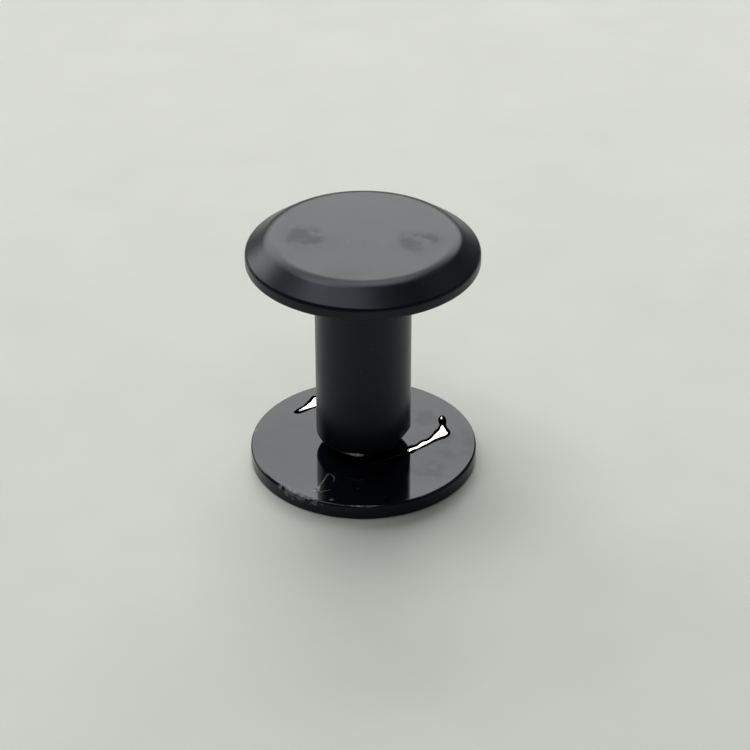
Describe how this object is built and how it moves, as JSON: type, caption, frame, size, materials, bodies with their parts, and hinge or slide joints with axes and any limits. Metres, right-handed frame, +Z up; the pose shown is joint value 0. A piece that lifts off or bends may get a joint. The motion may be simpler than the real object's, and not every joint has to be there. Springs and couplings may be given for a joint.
{
  "type": "chicago screw",
  "caption": "Black post-and-screw fastener: a bevelled plain head on a tapped barrel, closed by a thin slotted disc head with a threaded shank.",
  "frame": {"origin": "centre of the underside of the screw's disc head, on the axis of the screw", "axes": "+Z up the common axis, from the disc head to the bevelled head; +X along the driver slot in the underside"},
  "size_m": [0.012, 0.012, 0.0133],
  "materials": {
    "screw_black": "gloss black lacquer over steel, with a few bare scratches",
    "post_black": "semi-gloss black lacquer over steel"
  },
  "bodies": {
    "screw_half": {"screw": "screw_black"},
    "post_half": {"post": "post_black"}
  },
  "joints": [
    {"name": "post_lift", "type": "slide", "parent": "screw_half", "child": "post_half", "axis": [0, 0, 1], "range_m": [-0.0007, 0.012]}
  ]
}
